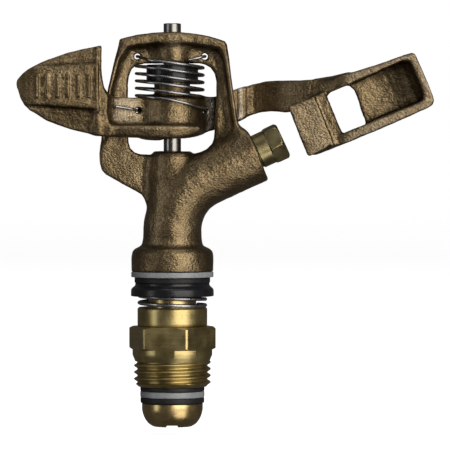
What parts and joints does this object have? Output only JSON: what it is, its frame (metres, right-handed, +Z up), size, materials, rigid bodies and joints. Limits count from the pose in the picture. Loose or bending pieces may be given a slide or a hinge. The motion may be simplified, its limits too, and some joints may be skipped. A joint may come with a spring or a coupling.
{
  "type": "impact sprinkler",
  "caption": "Impact sprinkler: inclined barrel with yoke, spring-returned impact arm with water spoon, and a rotary bearing nut with male inlet thread.",
  "frame": {"origin": "centre of the bearing nut's lower end face, where the male thread starts", "axes": "+Z up the turning axis, +X the way the jet leaves, -Y the side the bucket opens to"},
  "size_m": [0.1137, 0.0228, 0.1098],
  "materials": {
    "cast_bronze": "sand-cast, lightly burnished",
    "turned_brass": "turned",
    "steel": "bright stainless",
    "black_rubber": "matt",
    "black_plastic": "satin",
    "nylon": "satin"
  },
  "bodies": {
    "nut": {"bearing_nut": "turned_brass", "pressure_spring": "steel"},
    "carrier": {"spring_cover": "black_plastic", "spring_seat_ring": "steel", "top_rubber_washer": "black_rubber"},
    "head": {"sprinkler_body": "cast_bronze", "bearing_tube": "turned_brass", "nozzle": "turned_brass", "fulcrum_pin": "steel", "arm_cap": "black_plastic", "arm_thrust_washer": "nylon", "arm_spring": "steel", "top_washer": "nylon", "seal_washer_upper": "black_rubber", "slip_washer": "nylon", "seal_washer_lower": "black_rubber"},
    "arm": {"impact_arm": "cast_bronze", "arm_bush_upper": "nylon", "arm_bush_lower": "nylon"}
  },
  "joints": [
    {"name": "bearing_float", "type": "slide", "parent": "nut", "child": "carrier", "axis": [0, 0, 1], "range_m": [-0.002, 0], "stiffness_N_per_m": 2500, "springref_m": 0.004, "deforming": ["pressure_spring"]},
    {"name": "head_spin", "type": "hinge", "parent": "carrier", "child": "head", "pos_m": [0, 0, 0.03], "axis": [0, 0, 1], "continuous": true},
    {"name": "arm_swing", "type": "hinge", "parent": "head", "child": "arm", "pos_m": [0, 0, 0.075], "axis": [0, 0, 1], "range_deg": [0, 105], "stiffness_Nm_per_rad": 0.012, "springref_deg": -51.57, "deforming": ["arm_spring"]}
  ]
}
